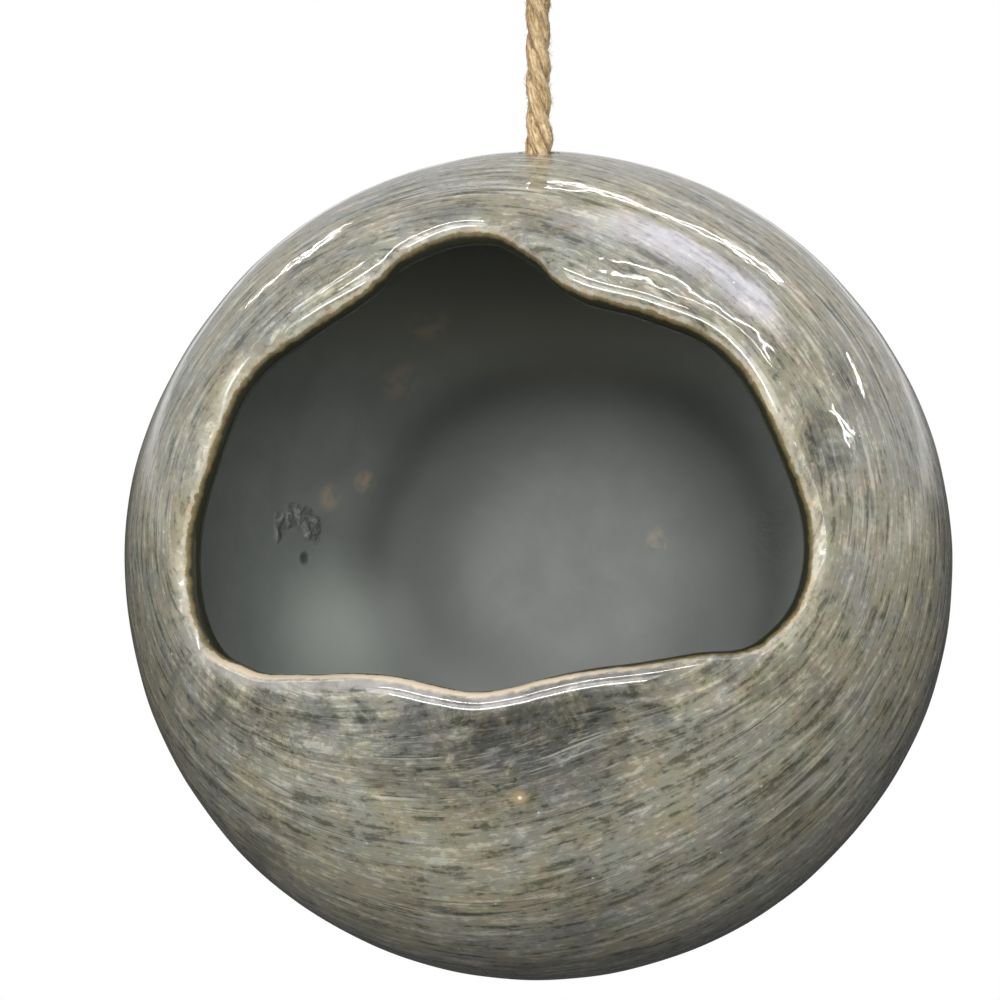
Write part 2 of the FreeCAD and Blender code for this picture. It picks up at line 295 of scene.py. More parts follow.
def unit(rows):
    """Rows of x, y, z, each scaled to a length of 1."""
    return rows / np.linalg.norm(rows, axis=1)[:, None]


def new_object(name, data):
    """A new object in the scene."""
    obj = bpy.data.objects.new(name, data)
    bpy.context.scene.collection.objects.link(obj)
    return obj


def select(*objects):
    """Select only these objects, the first one active."""
    bpy.ops.object.select_all(action="DESELECT")
    for obj in objects:
        obj.select_set(True)
    if objects:
        bpy.context.view_layer.objects.active = objects[0]


def pick(obj, kind, test):
    """Select the edges or faces of obj, in edit mode, that pass test."""
    bpy.ops.mesh.select_mode(type=kind)
    bpy.ops.mesh.select_all(action="DESELECT")
    work = bmesh.from_edit_mesh(obj.data)
    found = [item for item in (work.edges if kind == "EDGE" else work.faces) if test(item)]
    if not found:
        raise RuntimeError(f"nothing to select on {obj.name}")
    for item in found:
        item.select_set(True)
    work.select_flush_mode()
    bmesh.update_edit_mesh(obj.data)


def apply_modifier(obj, kind, **options):
    """Add a modifier with these options and apply it."""
    modifier = obj.modifiers.new(kind.lower(), kind)
    for name, value in options.items():
        setattr(modifier, name, value)
    bpy.context.view_layer.objects.active = obj
    bpy.ops.object.modifier_apply(modifier=modifier.name)


def rgba(colour):
    """A colour with its alpha, or a socket as it is."""
    return colour if isinstance(colour, bpy.types.NodeSocket) else (*colour[:3], 1)


def scaled(colour, factor):
    """A lighter or darker shade of a colour."""
    return tuple(factor * part for part in colour)


class Nodes:
    """Adds shader nodes to a tree. Most of its methods give the new node's result, as a socket."""

    def __init__(self, tree):
        self.tree = tree

    def fill(self, node, sockets):
        """Give sockets of a node values, or other sockets to link from."""
        for name, value in sockets.items():
            if isinstance(value, bpy.types.NodeSocket):
                self.tree.links.new(value, node.inputs[name])
            else:
                node.inputs[name].default_value = value

    def add(self, kind, sockets=None, **options):
        """Add a node with these sockets and options, and give it back."""
        made = self.tree.nodes.new(kind)
        for name, value in options.items():
            setattr(made, name, value)
        self.fill(made, sockets or {})
        return made

    def math(self, operation, *values):
        """A Math node's result."""
        return self.add("ShaderNodeMath", dict(enumerate(values)), operation=operation).outputs[0]

    def times(self, *values):
        """The product of some values."""
        result = values[0]
        for value in values[1:]:
            result = self.math("MULTIPLY", result, value)
        return result

    def vector(self, operation, *values, output=0):
        """A Vector Math node's result."""
        made = self.add("ShaderNodeVectorMath", dict(enumerate(values)), operation=operation)
        return made.outputs[output]

    def split(self, vector):
        """The three parts of a vector."""
        return self.add("ShaderNodeSeparateXYZ", {0: vector}).outputs

    def mix(self, share, below, above, blend="MIX"):
        """Colour above laid over colour below by share."""
        return self.add("ShaderNodeMix", {0: share, 6: rgba(below), 7: rgba(above)},
                        data_type="RGBA", blend_type=blend).outputs[2]

    def mix_value(self, share, below, above):
        """Number above laid over number below by share."""
        return self.add("ShaderNodeMix", {0: share, 2: below, 3: above}).outputs[0]

    def ramp(self, value, low, high):
        """0 below low and 1 above high, with a soft step between."""
        return self.add("ShaderNodeMapRange", {0: value, 1: low, 2: high},
                        interpolation_type="SMOOTHSTEP").outputs[0]

    def band(self, value, start, full, fade, end):
        """0 below start, 1 from full to fade and 0 above end, with soft steps between."""
        return self.times(self.ramp(value, start, full), self.ramp(value, end, fade))

    def colour_ramp(self, value, stops):
        """Colours along a value: a list of places and colours."""
        made = self.add("ShaderNodeValToRGB", {0: value})
        elements = made.color_ramp.elements
        while len(elements) < len(stops):
            elements.new(0.5)
        for element, (place, colour) in zip(elements, stops):
            element.position = place
            element.color = (*colour, 1)
        return made.outputs[0]

    def noise(self, vector, scale, detail=3.0, roughness=0.55, distortion=0.0, stretch=(1, 1, 1)):
        """Cloudy noise on a vector that is stretched first."""
        mapping = self.add("ShaderNodeMapping", {"Vector": vector, "Scale": stretch})
        cloud = {"Scale": scale, "Detail": detail, "Roughness": roughness, "Distortion": distortion}
        return self.add("ShaderNodeTexNoise", {"Vector": mapping.outputs[0], **cloud}).outputs[0]

    def blob(self, vector, middle, inner, outer):
        """1 within inner metres of a point and 0 beyond outer metres."""
        return self.ramp(self.vector("DISTANCE", vector, middle, output="Value"), outer, inner)

    def shaken(self, vector, scale, reach):
        """A place that noise moves about by up to half the reach."""
        cloud = self.add("ShaderNodeTexNoise", {"Vector": vector, "Scale": scale, "Detail": 2.0})
        centred = self.vector("SUBTRACT", cloud.outputs["Color"], (0.5, 0.5, 0.5))
        return self.vector("MULTIPLY_ADD", centred, (reach, reach, reach), vector)

    def spots(self, vector, scale, size):
        """1 in small scattered dots and 0 between them."""
        cells = self.add("ShaderNodeTexVoronoi", {"Vector": vector, "Scale": scale})
        return self.ramp(cells.outputs["Distance"], size, size * 0.4)

    def bump(self, shader, *layers):
        """Bump of some heights and depths in metres, one on another, on a shader."""
        before = {}
        for height, depth in layers:
            sockets = {"Height": height, "Strength": 1.0, "Distance": depth, **before}
            made = self.add("ShaderNodeBump", sockets)
            before = {"Normal": made.outputs[0]}
        self.fill(shader, before)


def new_material(name):
    """An empty material, what adds nodes to it, and its shader."""
    material = bpy.data.materials.new(name)
    material.use_nodes = True
    return material, Nodes(material.node_tree), material.node_tree.nodes["Principled BSDF"]


def glaze_material():
    """Glossy streaked glaze outside, satin inside, thin on the lip, and bare clay on the foot."""
    colours = settings().colours
    material, n, shader = new_material("streaked_glaze")
    ring = n.add("ShaderNodeAttribute", attribute_name="ring").outputs["Vector"]
    lip = n.add("ShaderNodeAttribute", attribute_name="lip").outputs["Vector"]
    roll, from_lip, foot = n.split(lip)
    place = n.add("ShaderNodeTexCoord").outputs["Object"]
    thrown = {"Location": ball_middle(), "Rotation": (math.pi / 2 - settings().ball.tilt, 0, 0)}
    place = n.add("ShaderNodeMapping", {"Vector": place, **thrown}, vector_type="TEXTURE").outputs[0]
    right, high, ahead = n.split(place)

    outside = outer_glaze(n, place, ring, from_lip, high)
    inside, lumps = inner_glaze(n, place, right, high, ahead)

    # Over the lip's roll: 0 outside, 0.5 on its crest, 1 inside.
    ragged = n.noise(place, 380.0, 4.0, 0.6, 0.3)
    edge = n.math("MULTIPLY_ADD", n.math("SUBTRACT", ragged, 0.5), 0.2, roll)
    bottom = n.ramp(high, -0.016, -0.022)
    past = n.math("SUBTRACT", edge, n.mix_value(bottom, 0.4, 0.56))
    colour = n.mix(n.ramp(past, 0.0, 0.05), outside, colours.ochre)
    # Painted shade on the inner face of the lip.
    colour = n.mix(n.ramp(past, 0.04, 0.16), colour, colours.deep_shade)
    colour = n.mix(n.ramp(edge, 0.8, 0.9), colour, inside)
    speckle = n.noise(place, 420.0, 3.0, 0.6)
    # A painted reflection of the lavender ceiling on the upward-facing roll of the lower lip.
    lavender_lip_reflection = n.times(bottom, n.band(edge, 0.1, 0.22, 0.34, 0.44),
                    n.ramp(n.noise(place, 120.0, 3.0), 0.3, 0.6), 0.7)
    colour = n.mix(lavender_lip_reflection, colour, colours.lavender_lip_reflection)
    # The thin glaze on the crest is clay and beige at the sides and cream on the lower lip. There the
    # cream is also painted light, paler where the crest faces the ceiling lamps.
    wide = n.mix_value(bottom, 0.05, 0.13)
    thin = n.band(past, n.times(wide, -2.0), n.times(wide, -1.0), 0.0, n.times(wide, 0.5))
    crest = n.mix(n.ramp(speckle, 0.36, 0.6), colours.clay, colours.beige)
    crest = n.mix(bottom, crest, colours.cream_glaze_and_light)
    broken = n.times(n.ramp(n.noise(place, 90.0, 3.0), 0.3, 0.6), 0.7)
    colour = n.mix(n.times(thin, n.mix_value(bottom, broken, 0.9)), colour, crest)
    # A painted highlight along the rounded inner edge of the lip.
    line = n.times(n.band(roll, 0.86, 0.9, 0.92, 0.96), n.ramp(speckle, 0.3, 0.55), 0.7)
    colour = n.mix(line, colour, colours.beige)

    grain = n.noise(place, 900.0, 3.0)
    bare = n.mix(grain, scaled(colours.clay, 0.8), scaled(colours.clay, 1.05))
    within = n.ramp(edge, 0.7, 0.9)
    # The thin glaze on the crest is dry and broken at the sides of the mouth.
    dry = n.times(n.band(edge, 0.08, 0.2, 0.5, 0.62), n.band(high, -0.022, -0.01, 0.026, 0.038),
                  n.ramp(speckle, 0.28, 0.46))
    gloss = n.mix_value(within, n.mix_value(dry, 0.045, 0.32), 0.5)
    mirror = n.mix_value(within, n.mix_value(dry, 0.5, 0.12), 0.2)
    n.fill(shader, {"Base Color": n.mix(foot, colour, bare), "Roughness": n.mix_value(foot, gloss, 0.8),
                    "Specular IOR Level": mirror})

    waves = n.noise(place, 125.0, 0.0)
    ripples = n.noise(place, 270.0, 0.0)
    peel = n.noise(place, 520.0, 0.0)
    n.bump(shader, (waves, 0.00011), (ripples, 0.00003), (peel, 0.000014), (lumps, 0.0012))
    return material


def outer_glaze(n, place, ring, from_lip, high):
    """Colour of the streaked glaze, with painted shade and highlights along some brushed grooves."""
    colours = settings().colours
    mottle = n.noise(ring, 1.0, 4.0, 0.65, 0.5, (17, 17, 62))
    strokes = n.noise(ring, 1.0, 3.0, 0.6, 0.3, (4.0, 4.0, 50))
    blotch = n.noise(place, 260.0, 5.0, 0.7, 0.5)
    fine = n.noise(ring, 1.0, 3.0, 0.6, 0.6, (6.5, 6.5, 150))
    finer = n.noise(ring, 1.0, 2.0, 0.5, 0.3, (10, 10, 300))
    tone = n.math("MULTIPLY_ADD", mottle, 0.3, n.times(blotch, 0.22))
    tone = n.math("MULTIPLY_ADD", strokes, 0.48, tone)
    grain = n.math("SUBTRACT", n.noise(place, 820.0, 3.0, 0.6), 0.5)
    tone = n.math("MULTIPLY_ADD", grain, 0.16, tone)
    colour = n.colour_ramp(tone, [(0.41, colours.olive), (0.48, colours.sage), (0.53, colours.sage),
                                  (0.59, colours.beige)])
    for scale, cool, warm in ((60.0, (0.97, 0.99, 1.05), (1.04, 1.01, 0.92)),
                              (190.0, (0.975, 1.005, 0.99), (1.045, 0.995, 0.96)),
                              (330.0, (0.99, 0.995, 1.04), (1.0, 1.01, 0.96))):
        hue = n.noise(place, scale, 3.0, 0.6, 0.5)
        tint = n.mix(n.ramp(hue, 0.38, 0.62), cool, warm)
        colour = n.mix(1.0, colour, tint, "MULTIPLY")

    cloud = n.noise(place, 30.0, 5.0, 0.62, 0.6)
    cloud = n.times(n.ramp(cloud, 0.52, 0.7), 0.6)
    colour = n.mix(cloud, colour, colours.smoke, "MULTIPLY")
    wisp = n.noise(place, 110.0, 5.0, 0.65, 0.9)
    near = n.ramp(from_lip, 0.026, 0.006)
    below = n.ramp(high, -0.01, -0.03)
    shade = n.times(near, n.ramp(wisp, 0.36, 0.6), n.mix_value(below, 0.4, 0.8))
    colour = n.mix(shade, colour, colours.smoke, "MULTIPLY")
    dusk = n.blob(place, DARK_CLOUD, 0.006, 0.036)
    dusk = n.times(dusk, n.ramp(wisp, 0.2, 0.5), 0.8)
    colour = n.mix(dusk, colour, scaled(colours.smoke, 0.7), "MULTIPLY")
    for middle, reach in SIDE_CLOUDS:
        patch = n.times(n.blob(place, middle, 0.0, reach), n.ramp(wisp, 0.36, 0.6), 0.75)
        colour = n.mix(patch, colour, scaled(colours.smoke, 0.7), "MULTIPLY")

    open_wall = n.ramp(from_lip, 0.003, 0.012)
    for layer, dark, light in ((fine, 0.5, 0.3), (finer, 0.3, 0.2)):
        colour = n.mix(n.times(n.ramp(layer, 0.4, 0.28), open_wall, dark), colour, colours.soot)
        colour = n.mix(n.times(n.ramp(layer, 0.58, 0.7), open_wall, light), colour, colours.chalk)
    # Here and there the brush left a long groove. Its shade is painted as a dark line and its highlight
    # as a pale edge.
    drawn = n.noise(ring, 1.0, 1.0, 0.35, 0.1, (1.1, 1.1, 24))
    kept = n.noise(ring, 1.0, 2.0, 0.6, 0.2, (2.6, 2.6, 12))
    kept = n.times(n.ramp(kept, 0.54, 0.66), open_wall)
    groove_shade = n.times(n.band(drawn, 0.45, 0.48, 0.49, 0.51), kept, 0.6)
    colour = n.mix(groove_shade, colour, colours.soot)
    groove_highlight = n.times(n.band(drawn, 0.5, 0.52, 0.53, 0.57), kept, 0.4)
    colour = n.mix(groove_highlight, colour, colours.chalk)

    warp = n.add("ShaderNodeTexNoise", {"Vector": place, "Scale": 160.0, "Detail": 2.0})
    shifted = n.vector("MULTIPLY_ADD", warp.outputs["Color"], (0.004, 0.004, 0.004), place)
    cracks = n.add("ShaderNodeTexVoronoi", {"Vector": shifted, "Scale": 290.0},
                   feature="DISTANCE_TO_EDGE")
    cracked = n.ramp(n.noise(place, 38.0, 2.0), 0.46, 0.6)
    crackle = n.times(n.ramp(cracks.outputs["Distance"], 0.03, 0.004), cracked,
                      n.mix_value(n.ramp(from_lip, 0.03, 0.012), 0.12, 0.4))
    colour = n.mix(crackle, colour, colours.soot)
    specks = n.times(n.spots(place, 140.0, 0.05), 0.8)
    colour = n.mix(specks, colour, colours.speck)
    glow = n.times(n.blob(place, IRON_SPOT, 0.0003, 0.0026), 0.6)
    colour = n.mix(glow, colour, colours.rust)
    return n.mix(n.blob(place, IRON_SPOT, 0.0002, 0.0006), colour, colours.iron)


def inner_glaze(n, place, right, high, ahead):
    """Colour of the satin glaze inside, with painted light and shade, and the height of its flaws."""
    colours = settings().colours
    shade = n.noise(place, 60.0, 4.0, 0.6, 0.3)
    colour = n.mix(n.ramp(shade, 0.3, 0.7), scaled(colours.slate, 0.9), scaled(colours.slate, 1.1))
    # Painted shade darkens the floor from its middle outwards and the corner round it, where the glaze
    # also pools dark.
    away = n.math("SQRT", n.math("ADD", n.times(right, right), n.times(high, high)))
    corner_shade_and_pooling = n.mix_value(n.ramp(away, 0.016, 0.038), 0.05, 0.84)
    corner_shade_and_pooling = n.times(corner_shade_and_pooling, n.ramp(away, 0.055, 0.043), n.ramp(ahead, 0.0, -0.03))
    colour = n.mix(corner_shade_and_pooling, colour, scaled(colours.slate, 0.3))
    # Painted light on the upper part of the inside wall.
    colour = n.mix(n.ramp(high, 0.035, 0.06), colour, colours.upper_inside_light)
    # Painted light on the lower inside wall and floor, a lighter copy of the slate.
    low = n.times(n.ramp(high, -0.012, -0.045), 0.68)
    colour = n.mix(low, colour, scaled(colours.slate, 1.9))
    # A patch of painted light on the lower left of the inside wall, a lighter copy of the slate.
    pale = n.blob(place, LIT_PATCH_INSIDE, 0.0, 0.026)
    colour = n.mix(n.times(pale, 0.75), colour, scaled(colours.slate, 2.2))
    smudge = n.noise(place, 170.0, 3.0, 0.6, 0.6)
    for middle, reach, share in SMUDGES:
        rust = n.blob(place, middle, reach * 0.2, reach)
        rust = n.times(rust, n.ramp(smudge, 0.42, 0.62), share)
        colour = n.mix(rust, colour, colours.clay)
    colour = n.mix(n.times(n.spots(place, 90.0, 0.035), 0.6), colour, colours.dots)

    # An arch of rough glaze, with a pit below it.
    torn = n.shaken(place, 330.0, 0.005)
    scab = n.blob(torn, SCAB, 0.0056, 0.0072)
    scab = n.times(scab, n.ramp(high, 0.0022, 0.0048))
    hollow = n.blob(torn, SCAB_HOLLOW, 0.0032, 0.0054)
    grit = n.noise(place, 420.0, 3.0, 0.6, 0.4)
    ridge = n.times(scab, n.math("SUBTRACT", 1.0, hollow))
    rough = n.times(ridge, n.mix_value(n.ramp(grit, 0.3, 0.7), 0.25, 1.0), 0.9)
    # Painted shade and painted highlights speckle the rough arch.
    colour = n.mix(n.times(ridge, n.ramp(grit, 0.5, 0.4), 0.4), colour, colours.deep_shade)
    ridge_highlight = n.times(ridge, n.ramp(grit, 0.5, 0.62), 0.6)
    colour = n.mix(ridge_highlight, colour, scaled(colours.slate, 2.2))
    # Painted shade in the pit.
    pit = n.blob(place, PIT, 0.0004, 0.0018)
    colour = n.mix(n.times(pit, 0.7), colour, colours.deep_shade)
    wavy = n.blob(place, WAVY_WALL, 0.006, 0.013)
    wavy = n.times(wavy, n.noise(place, 380.0, 3.0, 0.6), 0.25)
    lumps = n.math("SUBTRACT", n.math("ADD", rough, wavy), n.times(pit, 0.5))
    return colour, lumps


def jute_material():
    """Golden jute, with fibres that run along the strands."""
    colours = settings().colours
    material, n, shader = new_material("jute_fibres")
    fibre = n.add("ShaderNodeUVMap", uv_map="fibre").outputs[0]
    hairs = n.noise(fibre, 1.0, 4.0, 0.7, 0.5, (2400, 230, 1))
    patches = n.noise(fibre, 1.0, 3.0, 0.6, 0.2, (500, 140, 1))
    specks = n.noise(fibre, 1.0, 3.0, 0.65, 0.8, (1500, 900, 1))
    tone = n.mix_value(0.3, n.mix_value(0.4, hairs, specks), patches)
    between = tuple((a + b) / 2 for a, b in zip(colours.tow, colours.jute))
    colour = n.colour_ramp(tone, [(0.42, colours.tow), (0.47, between), (0.52, colours.jute),
                                  (0.58, colours.flax)])
    n.fill(shader, {"Base Color": colour, "Roughness": 0.85, "Specular IOR Level": 0.25})
    n.bump(shader, (tone, 0.0009))
    return material


def shared_material(name, make):
    """The material of that name, made once."""
    return bpy.data.materials.get(name) or make()


def round_rope(route, middle):
    """Points of a route given round the rope's axis in rope diameters, in the frame."""
    across = 2 * settings().rope.radius
    points = []
    for degrees, out, height in route:
        turn = math.radians(degrees)
        points.append(middle + Vector((math.sin(turn) * out, -math.cos(turn) * out, height)) * across)
    return points


def smooth_line(points):
    """Points along the smooth NURBS line of a rope's route."""
    curve = bpy.data.curves.new("route", "CURVE")
    curve.dimensions = "3D"
    curve.resolution_u = 24
    spline = curve.splines.new("NURBS")
    spline.points.add(len(points) - 1)
    for point, place in zip(spline.points, points):
        point.co = (*place, 1)
    spline.order_u = 3
    spline.use_endpoint_u = True
    return drawn_points(curve)


def drawn_points(curve):
    """The points that a curve is drawn through. The curve is removed."""
    holder = new_object("route", curve)
    bpy.context.view_layer.update()
    mesh = bpy.data.meshes.new_from_object(holder)
    line = coordinates(mesh)
    bpy.data.objects.remove(holder)
    bpy.data.curves.remove(curve)
    bpy.data.meshes.remove(mesh)
    return line


def even_line(line, step):
    """The same line with points an even step apart, and how far along each one is."""
    length = np.append(0, np.cumsum(np.linalg.norm(np.diff(line, axis=0), axis=1)))
    count = max(8, int(length[-1] / step))
    along = np.linspace(0, length[-1], count + 1)
    return np.stack([np.interp(along, length, line[:, i]) for i in range(3)], axis=1), along


def carried_frames(line):
    """Two directions square to the line at each point, carried along it without twisting."""
    ahead = unit(np.gradient(line, axis=0))
    side = np.cross(ahead[0], (0.0, 1.0, 0.0))
    if np.linalg.norm(side) < 0.1:
        side = np.cross(ahead[0], (1.0, 0.0, 0.0))
    sides = []
    for direction in ahead:
        side = side - direction * side.dot(direction)
        side = side / np.linalg.norm(side)
        sides.append(side)
    sides = np.array(sides)
    return sides, np.cross(ahead, sides)


def tube(rings, along, twist=0.0, shift=0.0):
    """Vertices, faces and fibre coordinates of a tube through rings of points.

    Its fibres twist round it, and start at shift.
    """
    count, sides = rings.shape[:2]
    verts = rings.reshape(-1, 3)
    faces, fibres = [], []
    girth = np.linalg.norm(rings[0] - np.roll(rings[0], 1, axis=0), axis=1).sum()
    for i in range(count - 1):
        for j in range(sides):
            k = (j + 1) % sides
            faces.append((i * sides + j, i * sides + k, (i + 1) * sides + k, (i + 1) * sides + j))
            for row, column in ((i, j), (i, j + 1), (i + 1, j + 1), (i + 1, j)):
                fibres.append((shift + girth * column / sides - twist * along[row], along[row]))
    faces.append(tuple(range(sides - 1, -1, -1)))
    faces.append(tuple((count - 1) * sides + j for j in range(sides)))
    fibres += [(shift, along[0])] * sides + [(shift, along[-1])] * sides
    return verts, faces, fibres


def lay_strands(line, along, full):
    """Rings and forward directions of three strands laid as an S in a rope of those full radii."""
    across, up = carried_frames(line)
    strand = STRAND_SHARE * full
    out = (full - strand)[:, None]
    strands = []
    for number in range(3):
        turn = number * 2 * math.pi / 3 - 2 * math.pi * along / settings().rope.lay
        outward = np.cos(turn)[:, None] * across + np.sin(turn)[:, None] * up
        centre = line + outward * out
        forward = unit(np.gradient(centre, axis=0))
        outward = unit(outward - forward * np.sum(outward * forward, axis=1)[:, None])
        sideways = np.cross(forward, outward)
        rings = []
        for j in range(STRAND_SIDES):
            angle = math.pi + 2 * math.pi * j / STRAND_SIDES
            yarns = 1 + YARN_DEPTH * np.cos(YARNS * angle - 2 * math.pi * along / YARN_LAY + number)
            loose = 1 + 0.05 * np.sin(along * 700 + 1.7 * j + number) * np.sin(along * 260 + j)
            reach = (strand * yarns * loose)[:, None]
            rings.append(centre + reach * (math.cos(angle) * outward + math.sin(angle) * sideways))
        strands.append((np.stack(rings, axis=1), forward))
    return strands


def stray_fibre(line, along, strands, chance, hole):
    """The tube of a fibre that leans away from a strand, or None where it would stand off too far."""
    rope = settings().rope
    rings, forward = chance.choice(strands)
    i = chance.randrange(len(along))
    j = chance.randrange(STRAND_SIDES // 2 - 4, STRAND_SIDES // 2 + 5)
    root = rings[i, j]
    away = (root - line[i]) / np.linalg.norm(root - line[i])
    lean = forward[i] * chance.choice((-1, 1))
    # Short fibres are more common than long ones, and most lie close to the strand.
    reach = rope.fuzz * chance.uniform(0.2, 1.0) ** 1.6
    lift = 0.02 + 0.4 * chance.random() ** 2
    bend = np.cross(away, lean) * chance.uniform(-0.5, 0.5)
    t = np.array([0.0, 0.4, 0.75, 1.0])[:, None]
    spine = root - away * 0.0001 + reach * ((lean + away * lift) * t + (bend + away * 0.2) * t * t)
    if np.max(np.linalg.norm(spine - line[i], axis=1)) > rope.radius + FIBRE_STAND_OFF:
        return None
    if hole is not None and np.min(spine[:, 2]) < hole + FIBRE_CLEAR:
        return None
    first, second = carried_frames(spine)
    thick = FIBRE_RADIUS * np.array([1.0, 0.9, 0.7, 0.3])[:, None]
    ring = np.stack([spine + thick * (math.cos(a) * first + math.sin(a) * second)
                     for a in (0.0, 2.1, 4.2)], axis=1)
    return tube(ring, along[i] + reach * t[:, 0], 0.0, chance.uniform(0, 0.05))


def lay_rope(name, line, seed, hairs_per_metre=38000, hole=None):
    """Three strands laid along a line, with stray fibres.

    A rope that comes out of a hole at that height bunches up above it, and is combed smooth below it.
    """
    chance = random.Random(seed)
    line, along = even_line(line, ROPE_STEP)
    full = np.full(len(line), settings().rope.radius)
    if hole is not None:
        above = line[:, 2] - hole - BUNCH_HEIGHT
        full += BUNCH * settings().rope.radius * np.exp(-(above / BUNCH_LENGTH) ** 2)
    strands = lay_strands(line, along, full)
    bits = [tube(rings, along, FIBRE_TWIST) for rings, _ in strands]
    for _ in range(int(hairs_per_metre * along[-1])):
        fibre = stray_fibre(line, along, strands, chance, hole)
        if fibre is not None:
            bits.append(fibre)
    verts, faces, fibres = [], [], []
    for some, polygons, marks in bits:
        start = len(verts)
        verts += some.tolist()
        faces += [tuple(start + v for v in face) for face in polygons]
        fibres += marks
    mesh = bpy.data.meshes.new(name)
    mesh.from_pydata(verts, [], faces)
    layer = mesh.uv_layers.new(name="fibre")
    layer.data.foreach_set("uv", np.array(fibres).ravel())
    obj = new_object(name, mesh)
    select(obj)
    bpy.ops.object.shade_smooth()
    mesh.materials.append(shared_material("jute_fibres", jute_material))
    return obj


def join(first, *others):
    """Join pieces into the first one."""
    select(first, *others)
    bpy.ops.object.join()
    return first


def loop_route():
    """The hanging loop's route: up one leg, round the hook, down the other leg and into the knot."""
    rope = settings().rope
    hook = Vector((0, 0, -rope.hook / 2))
    reach = rope.hook / 2 + rope.radius
    crown = []
    for degrees, out in ((-22, 1.0), (18, 1.13), (62, 1.13), (118, 1.13), (162, 1.13), (202, 1.0)):
        turn = math.radians(degrees)
        crown.append(hook + Vector((math.cos(turn), 0, math.sin(turn))) * reach * out)
    return round_rope(LOOP_LEG, KNOT) + crown + round_rope(LOOP_TUCK, KNOT)


def lip_line():
    """Clock angles round the mouth and its half angle at each, on a smooth line through LIP."""
    curve = bpy.data.curves.new("lip", "CURVE")
    curve.resolution_u = 24
    spline = curve.splines.new("BEZIER")
    spline.bezier_points.add(len(LIP) - 1)
    spline.use_cyclic_u = True
    for point, (clock, half) in zip(spline.bezier_points, LIP.items()):
        out = math.tan(math.radians(half))
        point.co = (math.cos(math.radians(clock)) * out, math.sin(math.radians(clock)) * out, 0)
        point.handle_left_type = "AUTO"
        point.handle_right_type = "AUTO"
    line = drawn_points(curve)
    clock = np.mod(np.arctan2(line[:, 1], line[:, 0]), 2 * np.pi)
    half = np.arctan(np.hypot(line[:, 0], line[:, 1]))
    order = np.argsort(clock)
    return clock[order], half[order]


def mouth_at(clock):
    """The mouth's half angle at clock angles, and how steeply the lip runs there."""
    at, half = lip_line()
    even = np.linspace(0, 2 * np.pi, 721)
    mouth = np.interp(even, at, half, period=2 * np.pi)
    steep = np.gradient(mouth, even) / np.sin(mouth)
    clock = np.mod(clock, 2 * np.pi)
    return np.interp(clock, even, mouth), np.interp(clock, even, steep)


def soft_mouth_at(clock):
    """The mouth's half angle at clock angles, without its waves."""
    even = np.radians(np.arange(360.0))
    mouth = mouth_at(even)[0]
    shifts = np.arange(-60, 61)
    share = np.exp(-0.5 * (shifts / 20.0) ** 2)
    loose = sum(weight * np.roll(mouth, shift) for weight, shift in zip(share, shifts)) / share.sum()
    return np.interp(np.mod(clock, 2 * np.pi), even, loose, period=2 * np.pi)


def from_throwing_axis(place):
    """Distances from the ball's middle, angles from the throwing axis, and clock angles about it."""
    out = np.linalg.norm(place, axis=1)
    polar = np.arccos(np.clip(place[:, 2] / out, -1, 1))
    return out, polar, np.arctan2(place[:, 1], place[:, 0])


def throw_ball():
    """A hollow ball with an even mouth up +Z, cut flat for its foot, with its wall, lip and foot ring."""
    size = settings().ball
    level = foot_level()

    def is_flat(face):
        return len(face.verts) > MANY_CORNERS

    def is_floor(face):
        return is_flat(face) and face.calc_center_median().z > size.wall / 2 - level

    def is_foot(face):
        return is_flat(face) and not is_floor(face)

    def on_rim(edge):
        polar = [vert.co.angle(Vector((0, 0, 1))) for vert in edge.verts]
        level_edge = abs(edge.verts[0].co.length - edge.verts[1].co.length) < 1e-4
        return level_edge and max(abs(angle - EVEN_MOUTH) for angle in polar) < 1e-3

    select()
    bpy.ops.mesh.primitive_uv_sphere_add(segments=160, ring_count=64, radius=size.radius)
    ball = bpy.context.object
    ball.name = "glazed_ball"
    bpy.ops.object.mode_set(mode="EDIT")
    pick(ball, "FACE", lambda face: face.calc_center_median().angle(Vector((0, 0, 1))) < EVEN_MOUTH)
    bpy.ops.mesh.delete(type="FACE")
    bpy.ops.mesh.select_all(action="SELECT")
    bpy.ops.mesh.bisect(plane_co=(0, 0, -level), plane_no=(0, 0, -1), use_fill=True, clear_outer=True)
    bpy.ops.object.mode_set(mode="OBJECT")
    apply_modifier(ball, "SOLIDIFY", thickness=size.wall, offset=-1, use_even_offset=True,
                   use_quality_normals=True)

    bpy.ops.object.mode_set(mode="EDIT")
    pick(ball, "FACE", is_floor)
    bpy.ops.transform.translate(value=(0, 0, size.floor - size.wall))
    for _ in range(4):
        bpy.ops.mesh.inset(thickness=0.004)
    pick(ball, "FACE", is_foot)
    bpy.ops.mesh.region_to_loop()
    bpy.ops.mesh.bevel(offset=FOOT_ROUND, segments=2, affect="EDGES")
    pick(ball, "FACE", is_foot)
    bpy.ops.mesh.inset(thickness=size.foot_ring - FOOT_ROUND)
    # Close rings keep both corners of the recess crisp.
    bpy.ops.mesh.inset(thickness=0.0004)
    bpy.ops.mesh.extrude_region_move(TRANSFORM_OT_translate={"value": (0, 0, size.recess)})
    bpy.ops.mesh.inset(thickness=0.0006)
    pick(ball, "EDGE", on_rim)
    bpy.ops.mesh.bevel(offset=size.lip_roll, segments=4, affect="EDGES")
    pick(ball, "FACE", is_flat)
    bpy.ops.mesh.poke()
    bpy.ops.object.mode_set(mode="OBJECT")
    apply_modifier(ball, "SUBSURF", levels=1, render_levels=1)
    return ball


